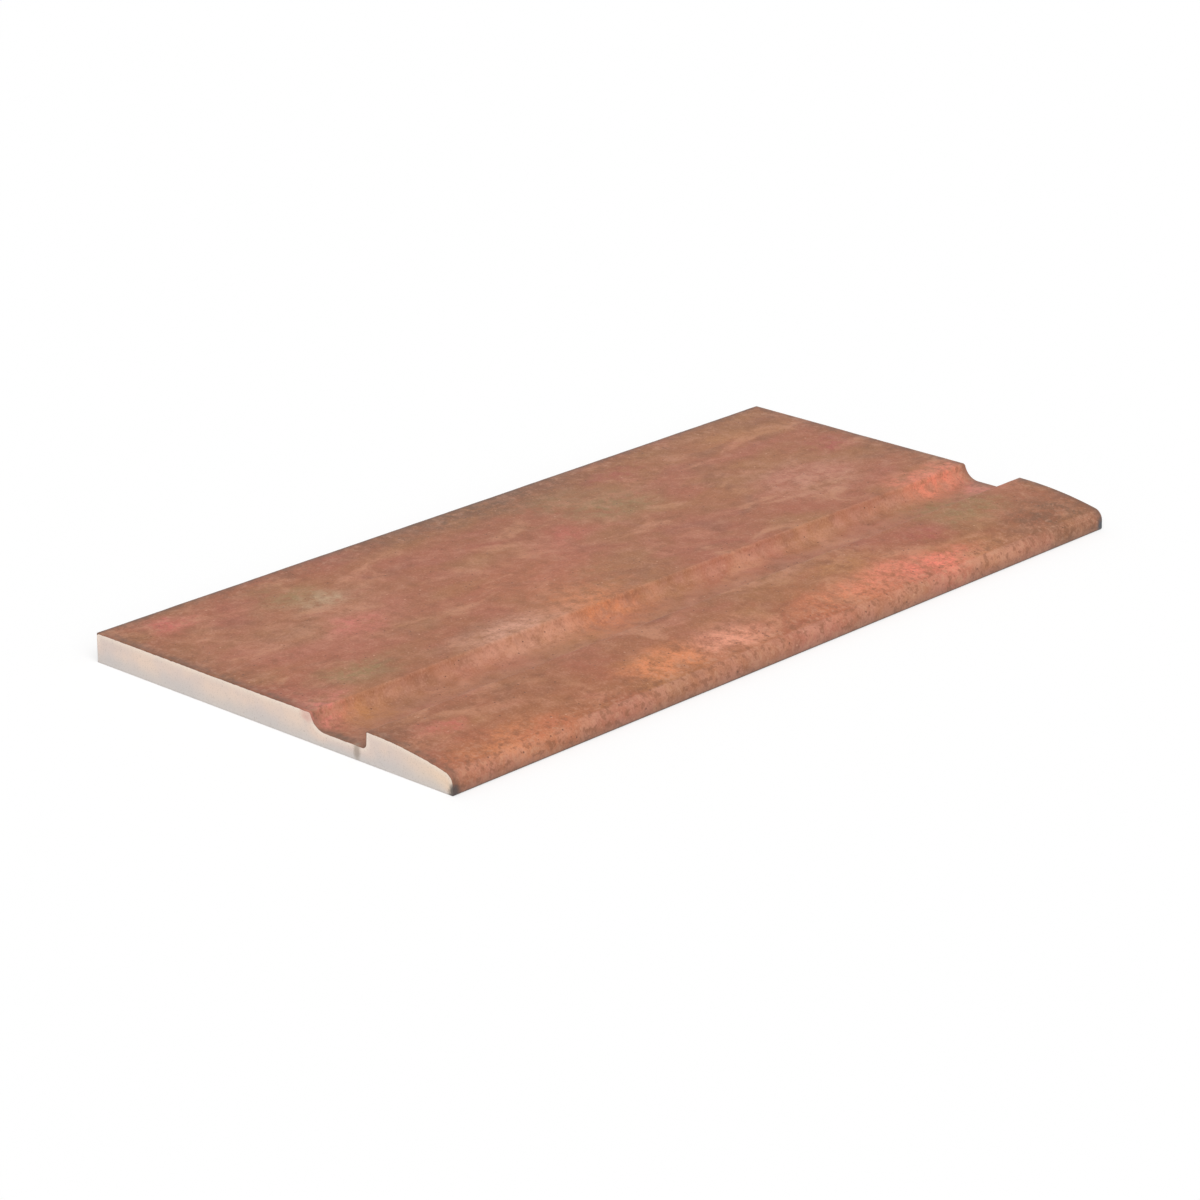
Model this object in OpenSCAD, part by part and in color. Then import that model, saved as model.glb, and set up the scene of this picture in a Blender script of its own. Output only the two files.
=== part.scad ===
// Pool coping tile: one pressed stoneware piece with a flat walking field, a rounded
// finger groove and a crowned nosing that drops to the pool face. The section is the same
// along the whole length, and both ends are plain faces that butt against the next tile.
// X runs along the pool edge, -Y faces the water, and Z = 0 is the plane of the back ribs.

/* [Tile] */
// Length along the pool edge
tile_length = 626; // [300:1:900]
// Width from the pool face to the back edge
tile_width = 310; // [260:1:450]
// Thickness of the flat field
tile_thickness = 20; // [17:0.5:30]
// Rounding of the long top edge at the back
back_arris = 1.2; // [0.4:0.1:3]

/* [Nosing] */
// Distance from the pool face to the lip over the groove
nosing_width = 72; // [50:1:90]
// Height of the lip above the flat field
lip_rise = 0.9; // [0:0.1:2]
// Rounding of the lip's edge
lip_radius = 1.6; // [0.8:0.1:2.5]
// Radius of the crowned top of the nosing
crown_radius = 310; // [280:5:600]
// Radius of the nose at the pool face
nose_radius = 8; // [4:0.5:8]
// Rounding of the lower edge at the pool face
toe_radius = 1.5; // [0.5:0.1:3]

/* [Groove] */
// Width of the groove, from the lip to the flat field
groove_width = 48; // [36:1:70]
// Depth of the groove below the flat field
groove_depth = 10; // [7:0.5:11]
// Inside radius under the lip
root_radius = 3; // [1:0.5:5]
// Inside radius of the sloping side towards the field
cove_radius = 12; // [7:0.5:16]
// Rounding of the field's edge above the groove
field_edge_radius = 2.5; // [1:0.5:5]

/* [Back channels] */
// Width of a keying channel
key_width = 11; // [6:0.5:13]
// Depth of a keying channel
key_depth = 1; // [0.5:0.1:2]
// Spacing of the keying channels, from centre to centre
key_pitch = 20; // [16:0.5:30]
// Plain border left round the channels
key_border = 14; // [8:1:30]

/* [Hidden] */
$fn = 128;
// How far each cut runs past the surface that it opens
overrun = 4;
// Sides of the crown's circle, which is far larger than the others
crown_sides = 720;
// How far two blended rounds cross where they meet, so that no sliver is left between them
blend_lap = 0.002;
// Fired colour of the glazed top
glaze_colour = [0.68, 0.48, 0.37];

// Heights of the groove floor and of the lip above the plane of the ribs
floor_z = tile_thickness - groove_depth;
crest_z = tile_thickness + lip_rise;
// The cuts reach up to here, above every centre that they are drawn from
cut_top = tile_thickness + cove_radius + overrun;

// The crown is highest where the lip's rounding begins
crest_y = nosing_width - lip_radius;
crown_z = crest_z - crown_radius;
// The nose touches the pool face and, from inside, the crown
nose_offset = crown_radius - nose_radius + blend_lap;
nose_z = crown_z + sqrt(pow(nose_offset, 2) - pow(crest_y - nose_radius, 2));
nose_normal = [nose_radius - crest_y, nose_z - crown_z] / nose_offset;
nose_top = [nose_radius, nose_z] + (nose_radius + overrun) * nose_normal;

// The cove and the field's edge meet in a smooth S, which turns through this angle
field_y = nosing_width + groove_width;
side_radius = cove_radius + field_edge_radius - blend_lap;
side_turn = acos(1 - groove_depth / side_radius);
cove_y = field_y - side_radius * sin(side_turn);
cove_z = floor_z + cove_radius;
field_edge_z = tile_thickness - field_edge_radius;

// The keying channels are centred across the width
key_steps = floor((tile_width - 2 * key_border - key_width) / key_pitch);
key_start = (tile_width - key_steps * key_pitch) / 2;
key_length = tile_length - 2 * key_border;

// Rectangle between two corners
module block(low, high) {
    translate(low) square(high - low);
}

// What rounding takes off a corner: the corner at the origin, material towards +X and -Y
module corner_waste(radius) {
    difference() {
        block([-overrun, -radius], [radius, overrun]);
        translate([radius, -radius]) circle(radius);
    }
}

// Open space over the nosing: above the crown, outside the nose and round the lip
module nosing_air() {
    difference() {
        block([-overrun, nose_z], [crest_y, cut_top]);
        translate([crest_y, crown_z]) circle(crown_radius, $fn = crown_sides);
    }
    difference() {
        polygon([
            [nose_radius, nose_z],
            [-overrun, nose_z],
            [-overrun, nose_top[1]],
            nose_top
        ]);
        translate([nose_radius, nose_z]) circle(nose_radius);
    }
    difference() {
        block([crest_y, crest_z - lip_radius], [nosing_width + root_radius, cut_top]);
        translate([crest_y, crest_z - lip_radius]) circle(lip_radius);
    }
}

// Open space of the groove: a rounded root under the lip, a flat floor and an S-shaped side
module groove_air() {
    block([nosing_width, floor_z + root_radius], [cove_y, cut_top]);
    block([nosing_width + root_radius, floor_z], [cove_y, cut_top]);
    translate([nosing_width + root_radius, floor_z + root_radius]) circle(root_radius);
    translate([cove_y, cove_z]) circle(cove_radius);
    difference() {
        polygon([
            [cove_y, cove_z],
            [field_y, field_edge_z],
            [field_y, cut_top],
            [cove_y, cut_top]
        ]);
        translate([field_y, field_edge_z]) circle(field_edge_radius);
    }
}

// Cross-section from the pool face at the left to the back edge at the right
module section() {
    difference() {
        block([0, 0], [tile_width, crest_z]);
        block([field_y, tile_thickness], [tile_width + overrun, cut_top]);
        nosing_air();
        groove_air();
        translate([tile_width, tile_thickness]) mirror([1, 0]) corner_waste(back_arris);
        mirror([0, 1]) corner_waste(toe_radius);
    }
}

// One round-ended channel pressed into the back, along X and open downwards
module key_channel() {
    translate([0, 0, -overrun])
        linear_extrude(overrun + key_depth) {
            translate([key_width / 2 - key_length / 2, -key_width / 2])
                square([key_length - key_width, key_width]);
            for (side = [-1, 1])
                translate([side * (key_length - key_width) / 2, 0]) circle(d = key_width);
        }
}

module coping_tile() {
    color(glaze_colour)
        translate([0, -tile_width / 2, 0])
            difference() {
                translate([-tile_length / 2, 0, 0])
                    rotate([90, 0, 90])
                        linear_extrude(tile_length) section();
                for (step = [0 : key_steps])
                    translate([0, key_start + step * key_pitch, 0]) key_channel();
            }
}

coping_tile();
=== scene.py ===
import math
import bmesh
import bpy
from mathutils import Matrix, Vector, noise
from mathutils.geometry import delaunay_2d_cdt


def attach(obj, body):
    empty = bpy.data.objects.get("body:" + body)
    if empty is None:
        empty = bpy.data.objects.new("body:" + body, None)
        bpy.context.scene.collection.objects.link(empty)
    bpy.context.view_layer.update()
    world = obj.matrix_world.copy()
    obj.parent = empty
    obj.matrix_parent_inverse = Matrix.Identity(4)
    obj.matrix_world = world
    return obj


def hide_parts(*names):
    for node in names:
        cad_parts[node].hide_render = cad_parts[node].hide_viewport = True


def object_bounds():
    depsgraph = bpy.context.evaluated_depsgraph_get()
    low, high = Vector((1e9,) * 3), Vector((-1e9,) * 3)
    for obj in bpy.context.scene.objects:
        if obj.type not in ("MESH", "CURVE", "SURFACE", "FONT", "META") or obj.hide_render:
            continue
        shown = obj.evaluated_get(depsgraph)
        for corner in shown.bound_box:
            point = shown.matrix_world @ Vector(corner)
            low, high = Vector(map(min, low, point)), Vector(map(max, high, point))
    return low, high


# A pool coping tile lying on its back: flat field, finger groove and crowned nosing
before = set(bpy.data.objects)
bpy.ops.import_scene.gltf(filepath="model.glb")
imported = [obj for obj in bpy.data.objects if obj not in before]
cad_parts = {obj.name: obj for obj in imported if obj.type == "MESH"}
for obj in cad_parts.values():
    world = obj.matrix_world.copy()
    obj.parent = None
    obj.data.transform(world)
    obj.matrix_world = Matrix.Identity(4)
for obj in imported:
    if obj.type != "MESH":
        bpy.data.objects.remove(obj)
cadLow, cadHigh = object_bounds()
print("frame loaded")


class Value:  # a socket whose sums add Math nodes
    def __init__(self, graph, socket):
        self.graph = graph
        self.socket = socket

    def __add__(self, other):
        return self.graph.maths("ADD", self, other)

    def __sub__(self, other):
        return self.graph.maths("SUBTRACT", self, other)

    def __rsub__(self, other):
        return self.graph.maths("SUBTRACT", other, self)

    def __mul__(self, other):
        return self.graph.maths("MULTIPLY", self, other)

    def __truediv__(self, other):
        return self.graph.maths("DIVIDE", self, other)

    def __rtruediv__(self, other):
        return self.graph.maths("DIVIDE", other, self)

    def beside(self, name):  # another output of the same node
        return Value(self.graph, self.graph.find(self.socket.node.outputs, name))

    __radd__ = __add__
    __rmul__ = __mul__


class Graph:  # the nodes of one material or world
    def __init__(self, owner):
        self.owner = owner
        owner.use_nodes = True
        self.tree = owner.node_tree
        self.tree.nodes.clear()

    def add(self, kind, settings=None, sockets=None, output=0):
        node = self.tree.nodes.new(kind)
        for name, setting in (settings or {}).items():
            setattr(node, name, setting)
        for name, value in (sockets or {}).items():
            socket = self.find(node.inputs, name)
            if isinstance(value, Value):
                self.tree.links.new(value.socket, socket)
            else:
                socket.default_value = value
        return Value(self, self.find(node.outputs, output)) if node.outputs else None

    def find(self, sockets, name):  # by its number, or by its name among those in use
        if isinstance(name, int):
            return sockets[name]
        return next(s for s in sockets if s.name == name and s.enabled)

    def maths(self, operation, first, second, clamp=False):
        settings = {"operation": operation, "use_clamp": clamp}
        return self.add("ShaderNodeMath", settings, {0: first, 1: second})

    def between(self, value, none, full):  # 0 up to none, 1 from full on, smooth between
        settings = {"interpolation_type": "SMOOTHSTEP"}
        sockets = {"Value": value, "From Min": none, "From Max": full}
        return self.add("ShaderNodeMapRange", settings, sockets)

    def mix(self, factor, first, second):  # of two colours
        sockets = {"Factor": factor, "A": first, "B": second}
        return self.add("ShaderNodeMix", {"data_type": "RGBA"}, sockets, "Result")

    def vectors(self, operation, first, second):
        return self.add("ShaderNodeVectorMath", {"operation": operation}, {0: first, 1: second})

    def clouds(self, vector, size, detail, roughness=0.5, distortion=0):
        sockets = {"Vector": vector, "Scale": 1 / size, "Detail": detail}
        sockets.update({"Roughness": roughness, "Distortion": distortion})
        return self.add("ShaderNodeTexNoise", None, sockets, "Fac")

    def cells(self, vector, size):  # distance to the nearest of many scattered points
        sockets = {"Vector": vector, "Scale": 1 / size}
        return self.add("ShaderNodeTexVoronoi", None, sockets, "Distance")


def colour(red, green, blue):  # of 0 to 255, as a picture program shows them
    def linear(level):
        share = level / 255
        return share / 12.92 if share < 0.04045 else ((share + 0.055) / 1.055) ** 2.4
    return (linear(red), linear(green), linear(blue), 1)


# The section's sizes in metres, as the solid has them
tile = {
    "nosingWidth": 0.072,
    "lipRise": 0.0009,
    "lipRadius": 0.0016,
    "crownRadius": 0.310,
    "noseRadius": 0.008,
    "toeRadius": 0.0015,
    "grooveWidth": 0.048,
    "grooveDepth": 0.010,
    "rootRadius": 0.003,
    "coveRadius": 0.012,
    "fieldEdgeRadius": 0.0025,
    "backArris": 0.0012,
    "bedArris": 0.0006,
    "endArris": 0.0004,
    "channelWidth": 0.011,
    "channelDepth": 0.001,
    "channelPitch": 0.020,
    "channelBorder": 0.014,
    "channelDraft": 0.0003,
    # How finely the mesh follows it
    "step": 0.0021,
    "endStep": 0.0016,
    "bedStep": 0.008,
    "leastArcSteps": 5,
    "endArrisTurns": (30, 60, 90),
    "channelEndTurn": 15,
    "weldGap": 1e-7,
    # The relief that firing leaves, and where the glaze lies
    "swell": 0.00022,
    "swellSize": 0.055,
    "swellFractal": (1, 2, 2),  # dimension, lacunarity and octaves
    "ripple": 0.00014,
    "rippleSize": 0.011,
    "bedFade": 0.05,  # the most relief, per height over the bed
    "endReliefShare": 0.5,
    "grooveFloorPaintedLight": 0.7,  # of the thinned glaze and painted light on the groove's floor, where the nose has 1; the painted light lifts the shade under the lip
    "glazeReach": 0.005,  # how far down the back the glaze's edge counts
}


class Section:  # the outline across the tile, from the front of the bed over the top to its back
    def __init__(self, step, leastArcSteps):
        self.step = step
        self.leastArcSteps = leastArcSteps
        self.points = []

    def put(self, place, normal, traits):
        self.points.append((place, normal, traits))

    def line(self, start, end, traits=(0, 0, 0, 0), runsOn=False):
        run = Vector(end) - Vector(start)
        normal = Vector((-run.y, run.x)) / run.length
        count = max(1, math.ceil(run.length / self.step))
        for index in range(count):
            gone = run * index / count
            bare = gone.length if runsOn else traits[3]
            self.put(Vector(start) + gone, normal, (*traits[:3], bare))

    def arc(self, centre, radius, start, end, traits=(0, 0, 0, 0)):  # anticlockwise where hollow
        turn = math.radians(end - start)
        count = max(self.leastArcSteps, math.ceil(abs(turn) * radius / self.step))
        facing = 1 if turn < 0 else -1
        for index in range(count):
            angle = math.radians(start) + turn * index / count
            arm = Vector((math.cos(angle), math.sin(angle)))
            self.put(Vector(centre) + radius * arm, facing * arm, traits)


def drawSection(sizes, width, crest):  # y from the pool face, z from the bed
    thickness = crest - sizes["lipRise"]
    floor = thickness - sizes["grooveDepth"]
    lip = sizes["lipRadius"]
    root = sizes["rootRadius"]
    cove = sizes["coveRadius"]
    edge = sizes["fieldEdgeRadius"]
    lipY = sizes["nosingWidth"]
    crestY = lipY - lip
    crownZ = crest - sizes["crownRadius"]
    nose = sizes["noseRadius"]
    noseZ = crownZ + math.sqrt((sizes["crownRadius"] - nose) ** 2 - (crestY - nose) ** 2)
    noseTurn = math.degrees(math.atan2(noseZ - crownZ, nose - crestY))
    sideTurn = math.acos(1 - sizes["grooveDepth"] / (cove + edge))
    fieldY = lipY + sizes["grooveWidth"]
    coveY = fieldY - (cove + edge) * math.sin(sideTurn)
    turned = math.degrees(sideTurn)
    back = sizes["backArris"]
    bed = sizes["bedArris"]
    toe = sizes["toeRadius"]
    # A point's traits: on an arris, glaze thinned with painted light, glaze pooled, and depth
    # below the glaze's edge
    onArris = (1, 0, 0, 0)
    thinAndPaintedLight = (0, 1, 0, 0)
    partThinAndPaintedLight = (0, sizes["grooveFloorPaintedLight"], 0, 0)
    pooled = (0, 0, 1, 0)
    deep = (0, 0, 0, thickness)
    shape = Section(sizes["step"], sizes["leastArcSteps"])
    shape.arc((toe, toe), toe, 270, 180, onArris)
    # the pale tint on the pool face and the nose is thinned glaze and painted light, for faces
    # that get less light
    shape.line((0, toe), (0, noseZ), thinAndPaintedLight)
    shape.arc((nose, noseZ), nose, 180, noseTurn, thinAndPaintedLight)
    shape.arc((crestY, crownZ), sizes["crownRadius"], noseTurn, 90)
    shape.arc((crestY, crest - lip), lip, 90, 0)
    shape.line((lipY, crest - lip), (lipY, floor + root), pooled)
    shape.arc((lipY + root, floor + root), root, 180, 270, pooled)
    # on the groove's floor the pale tint is painted light that lifts the shade under the lip, with
    # thinned glaze
    shape.line((lipY + root, floor), (coveY, floor), partThinAndPaintedLight)
    shape.arc((coveY, floor + cove), cove, 270, 270 + turned / 2, partThinAndPaintedLight)
    # the full pale tint on the cove's upper half is a painted highlight along the cove, with
    # thinned glaze
    shape.arc((coveY, floor + cove), cove, 270 + turned / 2, 270 + turned, thinAndPaintedLight)
    shape.arc((fieldY, thickness - edge), edge, 90 + turned, 90, partThinAndPaintedLight)
    shape.line((fieldY, thickness), (width - back, thickness))
    shape.arc((width - back, thickness - back), back, 90, 0, onArris)
    shape.line((width, thickness - back), (width, bed), runsOn=True)
    shape.arc((width - bed, bed), bed, 0, -90, deep)
    shape.put(Vector((width - bed, 0)), Vector((0, -1)), deep)
    return shape.points


def spaced(start, end, step):  # evenly, with both ends
    count = max(1, math.ceil(abs(end - start) / step))
    return [start + (end - start) * index / count for index in range(count + 1)]


def relief(place, sizes):  # how far firing has drawn the surface in, never outwards
    swell = noise.fractal(place / sizes["swellSize"], *sizes["swellFractal"])
    ripple = noise.noise(place / sizes["rippleSize"])
    return sizes["swell"] * (0.5 + 0.5 * swell) + sizes["ripple"] * (0.5 + 0.5 * ripple)


def isInside(point, outline):
    held = False
    for one, two in zip(outline, outline[1:] + outline[:1]):
        if (one.y > point.y) != (two.y > point.y):
            if point.x < one.x + (point.y - one.y) / (two.y - one.y) * (two.x - one.x):
                held = not held
    return held


def away(point, line):  # distance to the nearest stretch of a line of points
    gaps = []
    for one, two in zip(line, line[1:]):
        run = two - one
        share = min(1, max(0, (point - one).dot(run) / run.length_squared))
        gaps.append((point - one - share * run).length)
    return min(gaps)


class TileMesh:
    def __init__(self, sizes, low, high):
        self.sizes = sizes
        self.low = low
        self.high = high
        self.shell = bmesh.new()
        names = ("arris", "thinAndPaintedLight", "pooled", "bare")
        self.traits = [self.shell.verts.layers.float.new(name) for name in names]
        self.deep = (0, 0, 0, high.z - low.z)
        self.outline = drawSection(sizes, high.y - low.y, high.z - low.z)
        self.top = len(self.outline)
        rear = self.outline[-1][0].x
        front = self.outline[0][0].x
        self.bedLine = spaced(rear, front, sizes["bedStep"])[1:-1]

    def vertex(self, x, y, z, traits):
        made = self.shell.verts.new((x, y, z))
        for layer, level in zip(self.traits, traits):
            made[layer] = level
        return made

    def ring(self, x, inset, closed):  # the section at x, drawn in, with the bed's line if closed
        made = []
        for place, normal, traits in self.outline:
            spot = Vector((x, self.low.y + place.x, place.y))
            drawn = min(relief(spot, self.sizes), place.y * self.sizes["bedFade"])
            y = spot.y - normal.x * (inset + drawn)
            z = spot.z - normal.y * (inset + drawn)
            made.append(self.vertex(x, y, z, traits))
        if closed:
            made += [self.vertex(x, self.low.y + y, inset, self.deep) for y in self.bedLine]
        return made

    def bridge(self, first, second, closed):  # faces between two lines of as many points
        count = len(first)
        for index in range(count if closed else count - 1):
            after = (index + 1) % count
            face = self.shell.faces.new((first[index], first[after], second[after], second[index]))
            face.smooth = True

    def fill(self, points, loops, flatten, skip, smooth):  # triangles on a flat face with holes
        edges = []
        start = 0
        for count in loops:
            edges += [(start + index, start + (index + 1) % count) for index in range(count)]
            start += count
        flat = [flatten(point.co) for point in points]
        result = delaunay_2d_cdt(flat, edges, [], 0, self.sizes["weldGap"])
        spots, triangles, origins = result[0], result[2], result[3]
        for corners in triangles:
            middle = sum((spots[corner] for corner in corners), Vector((0, 0))) / 3
            if not skip(middle):
                face = self.shell.faces.new([points[origins[corner][0]] for corner in corners])
                face.smooth = smooth

    def end(self, ring, side):  # the rounded arris of one end, and its flat face
        arris = self.sizes["endArris"]
        last = ring
        for angle in self.sizes["endArrisTurns"]:
            turn = math.radians(angle)
            x = side * (self.high.x - arris + arris * math.sin(turn))
            current = self.ring(x, arris * (1 - math.cos(turn)), True)
            self.bridge(last, current, True)
            last = current
        outline = [Vector((point.co.y, point.co.z)) for point in last]
        points = last + self.endPoints(outline, side)
        self.fill(points, [len(last)], lambda co: co.yz, lambda p: not isInside(p, outline), True)

    def endPoints(self, outline, side):  # over the flat face, each with its depth below the glaze
        sizes = self.sizes
        step = sizes["endStep"]
        glazed = [spot for spot, (place, normal, traits) in zip(outline, self.outline)
                  if traits[3] < sizes["glazeReach"]]
        made = []
        for row, y in enumerate(spaced(self.low.y, self.high.y, step)):
            for z in spaced(0, self.high.z, step):
                spot = Vector((y, z + (row % 2) * step / 2))
                if not isInside(spot, outline):
                    continue
                if away(spot, outline + outline[:1]) < step / 2:
                    continue
                depth = away(spot, glazed)
                place = Vector((side * self.high.x, spot.x, spot.y))
                x = place.x - side * relief(place, sizes) * sizes["endReliefShare"]
                made.append(self.vertex(x, spot.x, spot.y, (0, 0, 0, depth)))
        return made

    def stadium(self, y, half, radius, z):  # the round-ended outline of a channel
        made = []
        for side in (1, -1):
            for angle in range(-90, 91, self.sizes["channelEndTurn"]):
                turn = math.radians(angle)
                x = side * (half - radius + radius * math.cos(turn))
                made.append(self.vertex(x, y + side * radius * math.sin(turn), z, self.deep))
        return made

    def channels(self):  # with drafted walls; their mouths are holes in the bed
        sizes = self.sizes
        radius = sizes["channelWidth"] / 2
        half = self.high.x - sizes["channelBorder"]
        draft = sizes["channelDraft"]
        room = self.high.y - self.low.y - 2 * sizes["channelBorder"] - sizes["channelWidth"]
        count = math.floor(room / sizes["channelPitch"])
        middles = [(index - count / 2) * sizes["channelPitch"] for index in range(count + 1)]
        mouths = []
        for y in middles:
            mouth = self.stadium(y, half, radius, 0)
            roof = self.stadium(y, half - draft, radius - draft, sizes["channelDepth"])
            self.bridge(mouth, roof, True)
            self.shell.faces.new(roof)
            mouths.append(mouth)

        def inChannel(point):
            along = max(0, abs(point.x) - (half - radius))
            return min(math.hypot(along, point.y - y) for y in middles) < radius

        return mouths, inChannel

    def bed(self, rings):
        mouths, inChannel = self.channels()
        first = rings[0]
        last = rings[-1]
        loop = [ring[0] for ring in rings]
        loop += list(reversed(last[self.top:]))
        loop += [ring[self.top - 1] for ring in reversed(rings)]
        loop += first[self.top:]
        points = loop + [point for mouth in mouths for point in mouth]
        loops = [len(loop)] + [len(mouth) for mouth in mouths]
        self.fill(points, loops, lambda co: co.xy, inChannel, False)

    def build(self, name):
        reach = self.high.x - self.sizes["endArris"]
        stations = spaced(-reach, reach, self.sizes["step"])
        rings = [self.ring(x, 0, abs(x) == reach) for x in stations]
        for first, second in zip(rings, rings[1:]):
            self.bridge(first[:self.top], second[:self.top], False)
        self.end(rings[0], -1)
        self.end(rings[-1], 1)
        self.bed(rings)
        bmesh.ops.recalc_face_normals(self.shell, faces=self.shell.faces)
        mesh = bpy.data.meshes.new(name)
        self.shell.to_mesh(mesh)
        self.shell.free()
        return mesh


tileMesh = TileMesh(tile, cadLow, cadHigh).build("pool_coping_tile")
tileObject = bpy.data.objects.new("pool_coping_tile", tileMesh)
bpy.context.scene.collection.objects.link(tileObject)
print("tile shaped:", len(tileMesh.polygons), "faces")

# The fired glaze
glaze = {
    "base": colour(157, 99, 66),
    "rose": colour(162, 94, 68),
    "khaki": colour(153, 103, 66),
    "plum": colour(170, 94, 78),
    "ochre": colour(158, 110, 64),
    "dark": colour(128, 82, 58),
    "pale": colour(184, 125, 94),
    # a pale tint for thinned glaze, also painted light on the shaded front and groove floor and a
    # painted highlight on the cove
    "thinAndPaintedLight": colour(206, 151, 132),
    "pool": colour(132, 94, 78),
    "fleck": colour(88, 60, 48),
    "grit": colour(204, 155, 128),
    "arris": colour(106, 82, 70),
    "foot": colour(124, 104, 94),
    "specular": 0.2,
    # Clouds: size in metres, detail, roughness and distortion
    "broadCloud": (0.075, 3),
    "darkVeins": (0.028, 3, 0.5, 0.6),
    "paleVeins": (0.028, 4, 0.55, 0.8),
    "hueCloud": (0.034, 3),
    "wearCloud": (0.009, 3),
    "mottleCloud": (0.011, 5, 0.65),
    "crumbCloud": (0.0045, 2),
    "grainCloud": (0.0014, 2, 0.7),
    # The stretch of clouds and veins, and shifts that make each of them another one
    "veinStretch": (0.6, 1, 1),
    "khakiShift": (1.7, 0, 0),
    "darkShift": (3.1, 0, 0),
    "paleShift": (0, 7.3, 0),
    "hueShift": (5.3, 0, 0),
    # Where a cloud shows: none from the first level, full from the second, and how strong
    "roseLevels": (0.35, 0.65, 1),
    "khakiLevels": (0.45, 0.7, 0.8),
    "darkVeinLevels": (0.5, 0.74, 0.6),
    "paleVeinLevels": (0.5, 0.67, 0.95),
    "plumLevels": (0.5, 0.68, 0.4),
    "ochreLevels": (0.5, 0.32, 0.4),
    "darkMottleLevels": (0.5, 0.7, 0.4),
    "paleMottleLevels": (0.5, 0.3, 0.36),
    "darkCrumbLevels": (0.54, 0.65, 1),
    "gritCrumbLevels": (0.45, 0.33, 0.55),
    "darkGrainLevels": (0.52, 0.7, 0.3),
    "gritGrainLevels": (0.48, 0.3, 0.25),
    "wearLevels": (0.35, 0.65),
    # Specks: size of their cells, radius, share of the cells that have one
    "flecks": (0.005, 0.0007, 0.3),
    "grits": (0.009, 0.0009, 0.3),
    "fleckShare": 0.8,
    "gritShare": 0.6,
    # Rims: distances from the edge where they start and are full
    "wideRim": (0.032, 0.002),
    "narrowRim": (0.009, 0.001),
    "noseRim": (0.032, 0.004),
    "frontRim": (0.004, 0),
    "footRim": (0.007, 0),
    "wideRimShare": 0.1,
    "footShare": 0.45,
    "poolShare": 0.3,
    # Spans: the least, and how much more where a mask is full
    "thinAndPaintedLightSpan": (0.2, 0.22),
    "crumbSpan": (0.14, 0.4),
    "arrisSpan": (0.5, 0.35),
    "rimSpan": (0.3, 0.25),
}
# Flashes of the kiln's flame, and on the cove a pale patch that is also a painted highlight: place
# from the middle of the tile, half sizes, tint and strength
flashes = {
    "rustField": (-0.050, 0.010, 0.060, 0.040, "rust", 0.4),
    "emberByNose": (-0.258, -0.144, 0.052, 0.012, "ember", 0.55),
    "rustByNose": (-0.225, -0.146, 0.022, 0.009, "rust", 0.85),
    "blushOnNosing": (-0.282, -0.108, 0.018, 0.010, "blush", 0.6),
    "pinkOnCove": (-0.296, -0.034, 0.022, 0.014, "pink", 0.75),
    "ochreOnCove": (-0.272, -0.046, 0.016, 0.013, "ochre", 0.6),
    "emberAtGroove": (-0.066, -0.036, 0.040, 0.028, "ember", 0.6),
    "emberOnNosing": (-0.104, -0.130, 0.036, 0.016, "ember", 0.95),
    "peachOnNosing": (-0.045, -0.133, 0.034, 0.017, "peach", 0.9),
    "emberPastMiddle": (0.062, -0.134, 0.050, 0.015, "ember", 0.6),
    "salmonOnNosing": (0.102, -0.131, 0.054, 0.015, "salmon", 0.7),
    "coralOnNosing": (0.152, -0.139, 0.036, 0.013, "coral", 0.75),
    "wineOnNosing": (0.187, -0.107, 0.024, 0.014, "wine", 0.75),
    "pinkFarGroove": (0.300, -0.068, 0.015, 0.023, "pink", 0.7),
    "salmonFarCove": (0.276, -0.034, 0.040, 0.016, "salmon", 0.95),
    "blushCorner": (-0.272, 0.132, 0.018, 0.013, "blush", 0.9),
    "blushField": (-0.196, 0.048, 0.020, 0.015, "blush", 0.7),
    "blushPastMiddle": (0.020, 0.067, 0.020, 0.014, "blush", 0.45),
    "wineBackEdge": (0.117, 0.126, 0.044, 0.016, "wine", 0.55),
    "wineFarEdge": (0.287, 0.060, 0.018, 0.015, "wine", 0.8),
    "oliveField": (-0.192, 0.112, 0.028, 0.022, "olive", 0.75),
    "sageField": (-0.176, 0.095, 0.024, 0.014, "sage", 0.7),
    "oliveNear": (-0.246, -0.010, 0.032, 0.016, "olive", 0.8),
    "olivePastMiddleBack": (0.060, 0.118, 0.040, 0.018, "olive", 0.5),
    "olivePastMiddle": (0.082, 0.082, 0.040, 0.026, "olive", 0.75),
    "ochreBack": (0.240, 0.118, 0.032, 0.018, "ochre", 0.35),
    "ochreOnCrest": (0.094, -0.104, 0.036, 0.018, "ochre", 0.5),
    "oliveFarNosing": (0.236, -0.100, 0.044, 0.020, "olive", 0.7),
    "oliveFarGroove": (0.250, -0.066, 0.034, 0.022, "olive", 0.7),
    # pale glaze along the cove, with a painted highlight
    "paleCoveAndPaintedHighlight": (-0.132, -0.030, 0.046, 0.017, "pale", 0.8),
    "paleField": (0.214, 0.022, 0.050, 0.032, "pale", 0.45),
    "paleNearField": (-0.215, 0.060, 0.080, 0.045, "pale", 0.2),
    "umberBack": (0.030, 0.122, 0.095, 0.045, "umber", 0.2),
    "umberBackEdge": (0.010, 0.146, 0.100, 0.019, "umber", 0.85),
    "umberFarTip": (0.282, -0.138, 0.052, 0.023, "umber", 0.8),
}
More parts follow.
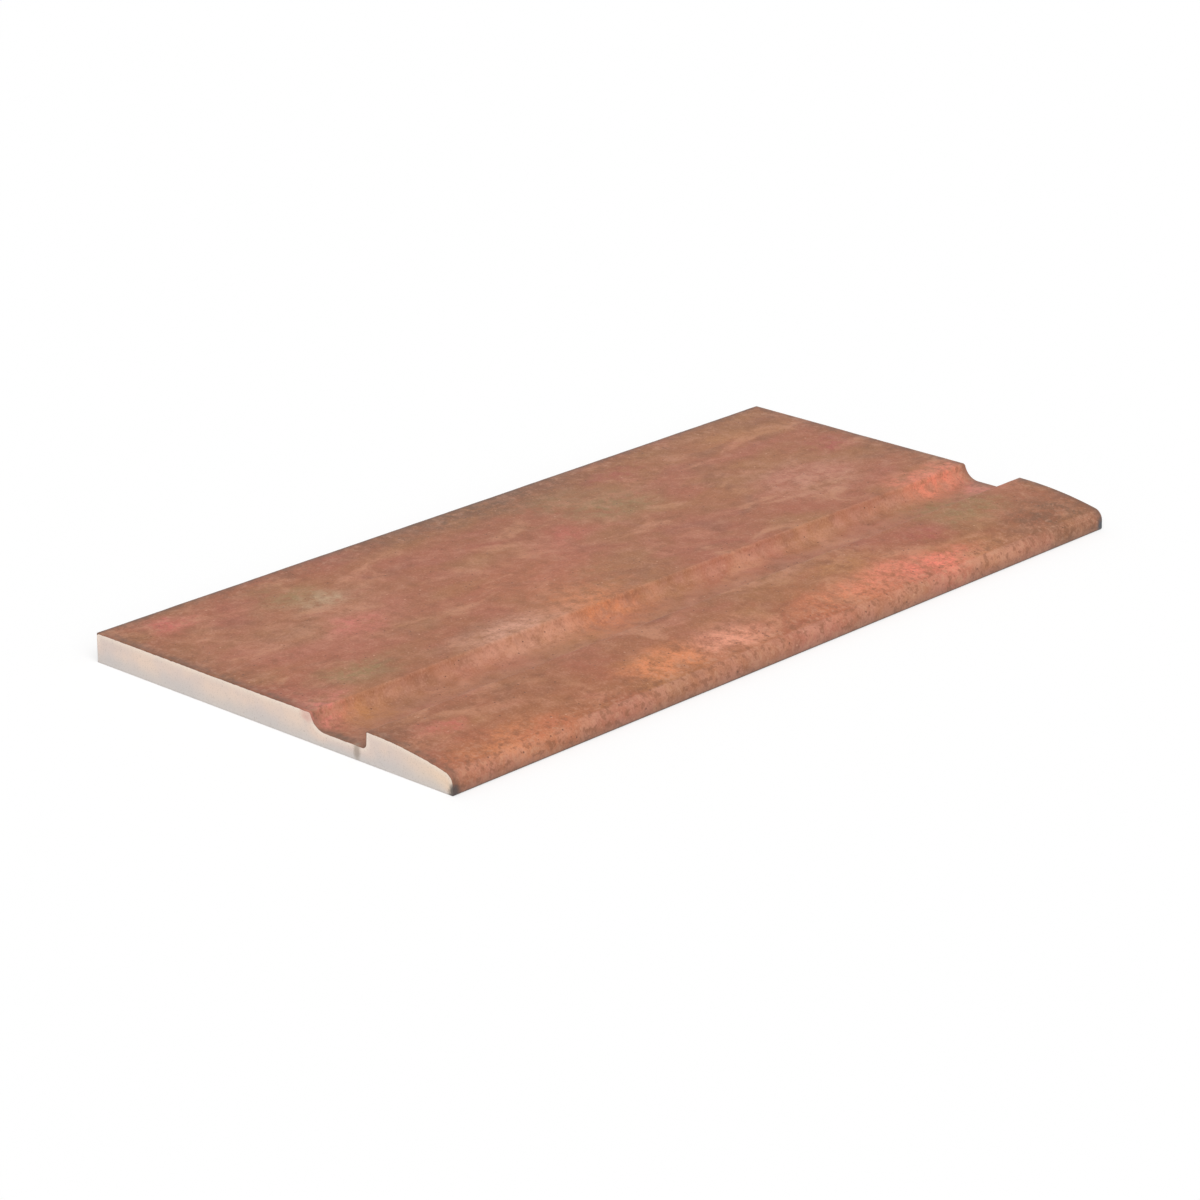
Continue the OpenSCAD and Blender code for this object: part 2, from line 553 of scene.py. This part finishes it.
# Small marks on this one tile, and painted shade at the near end of the groove: middle, half
# sizes, tint and strength
marks = {
    "dribbleUnderRoot": ((-0.313, -0.0755, 0.0060), (0.004, 0.0032, 0.0070), "stain", 0.6),
    # painted shade on the groove's floor at the near end, and on the end face just under it
    "grooveEndPaintedShade": ((-0.313, -0.0600, 0.0106), (0.007, 0.0150, 0.0013), "grooveShade", 0.7),
    "pinkUnderField": ((-0.313, -0.0340, 0.0170), (0.002, 0.0070, 0.0050), "pink", 0.35),
    # dark grey and blue-grey spots at the toe of each end
    "darkGreyNearToe": ((-0.313, -0.1550, 0.0020), (0.006, 0.0050, 0.0065), "darkGrey", 0.9),
    "slateFarToe": ((0.313, -0.1550, 0.0030), (0.006, 0.0050, 0.0065), "slate", 0.85),
}
tints = {
    "ember": colour(212, 132, 88),
    "rust": colour(184, 108, 76),
    "peach": colour(226, 152, 124),
    "coral": colour(238, 132, 110),
    "salmon": colour(220, 130, 104),
    "blush": colour(196, 102, 90),
    "wine": colour(164, 82, 70),
    "pink": colour(212, 126, 112),
    "ochre": colour(182, 124, 78),
    "olive": colour(146, 116, 76),
    "sage": colour(178, 150, 118),
    "pale": colour(206, 150, 126),
    "umber": colour(116, 82, 60),
    "stain": colour(146, 130, 114),
    # painted shade at the groove's near end
    "grooveShade": colour(104, 86, 72),
    "darkGrey": colour(80, 74, 72),
    "slate": colour(70, 84, 92),
}
# How the flashes and marks fray: clouds, levels and spans as in the glaze
fraying = {
    "fadeReach": 1.6,  # in half sizes from the middle
    "driftCloud": (0.03, 3),
    "drift": (0.048, 0.024, 0),
    "brokenCloud": (0.010, 6, 0.75),
    "brokenLevels": (0.36, 0.64),
    "brokenSpan": (0.3, 1.2),
    "markCloud": (0.003, 4, 0.7),
    "markDrift": 0.9,
    "markLevels": (0.1, 0.9),
}
# The body that shows on both ends, the back edge and the bed: clouds and the rest as in the glaze
body = {
    "cream": colour(231, 212, 202),
    "warm": colour(243, 219, 202),
    # painted shade: the bare body greys towards the bed
    "paintedShadeByBed": colour(211, 206, 203),
    "fleck": colour(150, 128, 112),
    "buff": colour(250, 222, 192),
    # painted highlight: bright cream just under the glaze's edge
    "paintedHighlightUnderGlaze": colour(255, 238, 222),
    "bed": colour(208, 190, 172),
    "dust": colour(226, 218, 208),
    "channel": colour(188, 160, 138),
    "warmCloud": (0.03, 3),
    "warmLevels": (0.35, 0.65, 1),
    "buffReach": 0.06,
    "buffShare": 0.6,
    "paintedShadeByBedLevels": (0.7, 0.05, 0.8),  # of the height, from 0 on the bed to 1 at the glaze
    "paintedShadeByBedDrift": 0.3,
    "paintedHighlightUnderGlazeDepths": (0.0045, 0.0005, 0.6),
    "dustCloud": (0.05, 5, 0.65),
    "dustLevels": (0.25, 0.75, 0.7),
    "channelHeights": (0.0003, 0.0009, 0.35),
    "bedFacing": (-0.5, -0.8),  # of the normal's height, where the bed's look starts and is full
    "grainCloud": (0.0009, 3, 0.7),
    "grainLevels": (0.52, 0.78, 0.4),
    "flecks": (0.003, 0.0004, 0.35),
    "fleckShare": 0.7,
    # The glaze's edge on it wanders, and the glaze darkens where it runs out
    "edgeCloud": (0.004, 3, 0.6),
    "edgeLevel": 0.42,
    "edgeWander": 0.0012,
    "edgeDepths": (0.0001, 0.0003),
    "runDepth": 0.0008,
    "runShare": 0.5,
}
surface = {
    "glazeRoughness": 0.5,
    "glazeRoughSpread": 0.2,
    "glazeRoughCloud": (0.011, 4),
    "bodyRoughness": 0.85,
    "grainHeight": 0.00005,
    "peelHeight": 0.00012,
    "peelCloud": (0.005, 2),
    "pitHeight": 0.00025,
}


def laid(graph, shade, tint, cloud, levels, share=1):  # a tint over it where the cloud shows
    none, full, strength = levels
    return graph.mix(graph.between(cloud, none, full) * (strength * share), shade, tint)


def rising(span, mask):  # from the least, by so much more where the mask is full
    least, more = span
    return least + more * mask


def specks(graph, place, size, radius, share):  # small round spots in a share of the cells
    near = graph.cells(place, size)
    chance = graph.add("ShaderNodeSeparateColor", None, {"Color": near.beside("Color")}, "Red")
    spot = graph.between(near, radius / size, radius / size / 2)
    return spot * graph.maths("LESS_THAN", chance, share)


def oval(graph, place, middle, halfSizes):  # 1 in its middle, 0 well past its edge
    offset = graph.vectors("SUBTRACT", place, middle)
    offset = graph.vectors("DIVIDE", offset, halfSizes)
    reach = graph.add("ShaderNodeVectorMath", {"operation": "LENGTH"}, {0: offset}, "Value")
    return graph.between(reach, fraying["fadeReach"], 0)


def flashed(graph, place, shade):  # patches with ragged edges
    drift = graph.clouds(place, *fraying["driftCloud"]).beside("Color")
    drift = graph.vectors("SUBTRACT", drift, (0.5, 0.5, 0.5))
    drift = graph.vectors("MULTIPLY", drift, fraying["drift"])
    flat = graph.vectors("MULTIPLY", graph.vectors("ADD", place, drift), (1, 1, 0))
    broken = graph.clouds(place, *fraying["brokenCloud"])
    broken = rising(fraying["brokenSpan"], graph.between(broken, *fraying["brokenLevels"]))
    for x, y, length, width, tint, strength in flashes.values():
        near = oval(graph, flat, (x, y, 0), (length, width, 1))
        share = graph.maths("MULTIPLY", near * strength, broken, clamp=True)
        shade = graph.mix(share, shade, tints[tint])
    return shade


def marked(graph, place, shade):
    drift = fraying["markDrift"] * (graph.clouds(place, *fraying["markCloud"]) - 0.5)
    for middle, halfSizes, tint, strength in marks.values():
        near = oval(graph, place, middle, halfSizes) + drift
        shade = laid(graph, shade, tints[tint], near, (*fraying["markLevels"], strength))
    return shade


def rims(graph, place):  # 1 near the ends and back, close to them, on the nose and at its foot
    x = graph.add("ShaderNodeSeparateXYZ", None, {"Vector": place}, "X")
    fromEnd = cadHigh.x - graph.maths("ABSOLUTE", x, 0)
    fromSide = graph.maths("MINIMUM", fromEnd, cadHigh.y - x.beside("Y"))
    fromFront = x.beside("Y") - cadLow.y
    wide = graph.between(fromSide, *glaze["wideRim"])
    narrow = graph.between(fromSide, *glaze["narrowRim"])
    nose = graph.between(fromFront, *glaze["noseRim"])
    front = graph.between(fromFront, *glaze["frontRim"])
    foot = graph.between(x.beside("Z"), *glaze["footRim"]) * front
    return wide, narrow, nose, foot


def glazeColour(graph, place, arris, thinAndPaintedLight, pooled):
    drawn = graph.vectors("MULTIPLY", place, glaze["veinStretch"])

    def shifted(name):
        return graph.vectors("ADD", drawn, glaze[name])

    broad = graph.clouds(drawn, *glaze["broadCloud"])
    shade = laid(graph, glaze["base"], glaze["rose"], broad, glaze["roseLevels"])
    other = graph.clouds(shifted("khakiShift"), *glaze["broadCloud"])
    shade = laid(graph, shade, glaze["khaki"], other, glaze["khakiLevels"])
    dark = graph.clouds(shifted("darkShift"), *glaze["darkVeins"])
    shade = laid(graph, shade, glaze["dark"], dark, glaze["darkVeinLevels"])
    pale = graph.clouds(shifted("paleShift"), *glaze["paleVeins"])
    shade = laid(graph, shade, glaze["pale"], pale, glaze["paleVeinLevels"])
    hue = graph.clouds(shifted("hueShift"), *glaze["hueCloud"])
    shade = laid(graph, shade, glaze["plum"], hue, glaze["plumLevels"])
    shade = laid(graph, shade, glaze["ochre"], hue, glaze["ochreLevels"])
    worn = graph.between(graph.clouds(place, *glaze["wearCloud"]), *glaze["wearLevels"])
    # the pale tint: thinned glaze and painted light, lifting shaded faces and painting a highlight
    # on the cove
    shade = graph.mix(thinAndPaintedLight * rising(glaze["thinAndPaintedLightSpan"], worn), shade, glaze["thinAndPaintedLight"])
    shade = graph.mix(pooled * glaze["poolShare"], shade, glaze["pool"])
    shade = flashed(graph, place, shade)
    mottle = graph.clouds(place, *glaze["mottleCloud"])
    shade = laid(graph, shade, glaze["dark"], mottle, glaze["darkMottleLevels"])
    shade = laid(graph, shade, glaze["pale"], mottle, glaze["paleMottleLevels"])
    wide, narrow, nose, foot = rims(graph, place)
    crumb = graph.clouds(place, *glaze["crumbCloud"])
    crumbs = rising(glaze["crumbSpan"], graph.maths("MAXIMUM", wide, nose))
    shade = laid(graph, shade, glaze["dark"], crumb, glaze["darkCrumbLevels"], crumbs)
    shade = laid(graph, shade, glaze["grit"], crumb, glaze["gritCrumbLevels"], crumbs)
    grain = graph.clouds(place, *glaze["grainCloud"])
    shade = laid(graph, shade, glaze["dark"], grain, glaze["darkGrainLevels"])
    shade = laid(graph, shade, glaze["grit"], grain, glaze["gritGrainLevels"])
    flecks = specks(graph, place, *glaze["flecks"])
    shade = graph.mix(flecks * glaze["fleckShare"], shade, glaze["fleck"])
    grits = specks(graph, place, *glaze["grits"])
    shade = graph.mix(grits * glaze["gritShare"], shade, glaze["grit"])
    shade = graph.mix(arris * rising(glaze["arrisSpan"], worn), shade, glaze["arris"])
    rim = narrow * rising(glaze["rimSpan"], worn) + wide * glaze["wideRimShare"]
    shade = graph.mix(rim, shade, glaze["arris"])
    return graph.mix(foot * glaze["footShare"], shade, glaze["foot"])


def bodyColour(graph, place, height, depth, facingDown):
    cloud = graph.clouds(place, *body["warmCloud"])
    shade = laid(graph, body["cream"], body["warm"], cloud, body["warmLevels"])
    nearNose = graph.between(height.beside("Y"), cadLow.y + body["buffReach"], cadLow.y)
    shade = graph.mix(nearNose * body["buffShare"], shade, body["buff"])
    risen = height / (height + depth) + body["paintedShadeByBedDrift"] * (cloud - 0.5)
    # painted shade, grey towards the bed
    shade = laid(graph, shade, body["paintedShadeByBed"], risen, body["paintedShadeByBedLevels"])
    # painted highlight, bright just under the glaze's edge
    shade = laid(graph, shade, body["paintedHighlightUnderGlaze"], depth, body["paintedHighlightUnderGlazeDepths"])
    dust = graph.clouds(place, *body["dustCloud"])
    under = laid(graph, body["bed"], body["dust"], dust, body["dustLevels"])
    under = laid(graph, under, body["channel"], height, body["channelHeights"])
    shade = graph.mix(facingDown, shade, under)
    grain = graph.clouds(place, *body["grainCloud"])
    shade = laid(graph, shade, body["fleck"], grain, body["grainLevels"])
    flecks = specks(graph, place, *body["flecks"])
    return graph.mix(flecks * body["fleckShare"], shade, body["fleck"])


def firedStoneware():
    graph = Graph(bpy.data.materials.new("fired_stoneware"))
    place = graph.add("ShaderNodeTexCoord", None, None, "Object")
    height = graph.add("ShaderNodeSeparateXYZ", None, {"Vector": place}, "Z")
    upward = graph.add("ShaderNodeSeparateXYZ", None, {"Vector": place.beside("Normal")}, "Z")

    def trait(name):
        return graph.add("ShaderNodeAttribute", {"attribute_name": name}, None, "Fac")

    depth = trait("bare")
    edge = graph.clouds(place, *body["edgeCloud"]) - body["edgeLevel"]
    wander = body["edgeWander"] * graph.maths("MAXIMUM", edge, 0)
    bare = graph.between(depth - wander, *body["edgeDepths"])
    glazed = glazeColour(graph, place, trait("arris"), trait("thinAndPaintedLight"), trait("pooled"))
    run = graph.between(depth, 0, body["runDepth"]) * body["runShare"]
    glazed = graph.mix(run, glazed, glaze["arris"])
    facingDown = graph.between(upward, *body["bedFacing"])
    raw = bodyColour(graph, place, height, depth, facingDown)
    shade = marked(graph, place, graph.mix(bare, glazed, raw))
    patchy = graph.clouds(place, *surface["glazeRoughCloud"])
    gloss = surface["glazeRoughness"] + surface["glazeRoughSpread"] * (patchy - 0.5)
    roughness = gloss + bare * (surface["bodyRoughness"] - gloss)
    grain = graph.clouds(place, *glaze["grainCloud"])
    peel = graph.clouds(place, *surface["peelCloud"])
    pits = specks(graph, place, *glaze["flecks"])
    raised = grain * surface["grainHeight"] + peel * surface["peelHeight"]
    raised = raised - pits * surface["pitHeight"]
    bump = graph.add("ShaderNodeBump", None, {"Height": raised, "Distance": 1, "Strength": 1})
    shader = graph.add("ShaderNodeBsdfPrincipled", None, {
        "Base Color": shade, "Roughness": roughness, "Normal": bump,
        "Specular IOR Level": glaze["specular"]})
    graph.add("ShaderNodeOutputMaterial", None, {"Surface": shader})
    return graph.owner


tileMesh.materials.append(firedStoneware())
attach(tileObject, "root")
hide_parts("coping_tile")
print("tile glazed")

# The floor and background are white for the camera, and the floor keeps the shadow
studio = {
    "floorSize": 40,
    "floorGap": 0.0001,
    "floorShade": 0.5,
    "skyLevel": 0.5,
    "lampLevel": 0.5,
    "lampFrom": (-0.52, -0.62, 0.72),
    "lampAngle": 60,
}


def seenDirectly(graph):  # 1 for what the camera sees, also in a gloss or through glass
    def ray(name):
        return graph.add("ShaderNodeLightPath", None, None, name)
    total = ray("Is Camera Ray") + ray("Is Glossy Ray") + ray("Is Transmission Ray")
    return graph.maths("MINIMUM", total, 1)


def makeFloor():
    half = studio["floorSize"] / 2
    mesh = bpy.data.meshes.new("studio_floor")
    corners = [(-half, -half, 0), (half, -half, 0), (half, half, 0), (-half, half, 0)]
    mesh.from_pydata(corners, [], [(0, 1, 2, 3)])
    floor = bpy.data.objects.new("studio_floor", mesh)
    floor.location.z = cadLow.z - studio["floorGap"]
    bpy.context.scene.collection.objects.link(floor)
    graph = Graph(bpy.data.materials.new("studio_floor"))
    shade = studio["floorShade"]
    matt = graph.add("ShaderNodeBsdfDiffuse", None, {"Color": (shade, shade, shade, 1)})
    lift = seenDirectly(graph) * (1 - shade)
    glow = graph.add("ShaderNodeEmission", None, {"Strength": lift})
    both = graph.add("ShaderNodeAddShader", None, {0: matt, 1: glow})
    graph.add("ShaderNodeOutputMaterial", None, {"Surface": both})
    mesh.materials.append(graph.owner)


def makeLight():
    world = bpy.data.worlds.new("studio_sky")
    bpy.context.scene.world = world
    graph = Graph(world)
    seen = seenDirectly(graph)
    strength = seen + (1 - seen) * studio["skyLevel"]
    sky = graph.add("ShaderNodeBackground", None, {"Color": (1, 1, 1, 1), "Strength": strength})
    graph.add("ShaderNodeOutputWorld", None, {"Surface": sky})
    lamp = bpy.data.lights.new("studio_lamp", "SUN")
    aim = Vector(studio["lampFrom"]).normalized()
    lamp.energy = studio["lampLevel"] * math.pi / aim.z
    lamp.angle = math.radians(studio["lampAngle"])
    holder = bpy.data.objects.new("studio_lamp", lamp)
    holder.rotation_mode = "QUATERNION"
    holder.rotation_quaternion = aim.to_track_quat("Z", "Y")
    bpy.context.scene.collection.objects.link(holder)


makeFloor()
makeLight()
print("studio lit")

# Where the photograph was taken from, in degrees and metres, and its frame in pixels
viewpoint = {
    "azimuth": -47.71,
    "elevation": 20.45,
    "roll": 0.26,
    "distance": 2.664,
    "focalPixels": 4103,
    "frameSide": 1200,
    "tilePixel": (622.3, 592.8),
    "sensorWidth": 36,  # millimetres
    "clipEnd": 100,
}


def makeCamera():
    data = bpy.data.cameras.new("camera")
    side = viewpoint["frameSide"]
    data.sensor_width = viewpoint["sensorWidth"]
    data.lens = viewpoint["focalPixels"] / side * data.sensor_width
    data.shift_x = (side / 2 - viewpoint["tilePixel"][0]) / side
    data.shift_y = (viewpoint["tilePixel"][1] - side / 2) / side
    data.clip_end = viewpoint["clipEnd"]
    around = math.radians(viewpoint["azimuth"])
    above = math.radians(viewpoint["elevation"])
    back = Vector((math.sin(around) * math.cos(above), -math.cos(around) * math.cos(above),
                   math.sin(above)))
    camera = bpy.data.objects.new("camera", data)
    turn = back.to_track_quat("Z", "Y").to_matrix().to_4x4()
    roll = Matrix.Rotation(math.radians(viewpoint["roll"]), 4, "Z")
    camera.matrix_world = Matrix.Translation(back * viewpoint["distance"]) @ turn @ roll
    bpy.context.scene.collection.objects.link(camera)
    bpy.context.scene.camera = camera


makeCamera()
bpy.context.scene.view_settings.view_transform = "Standard"
print("camera set")
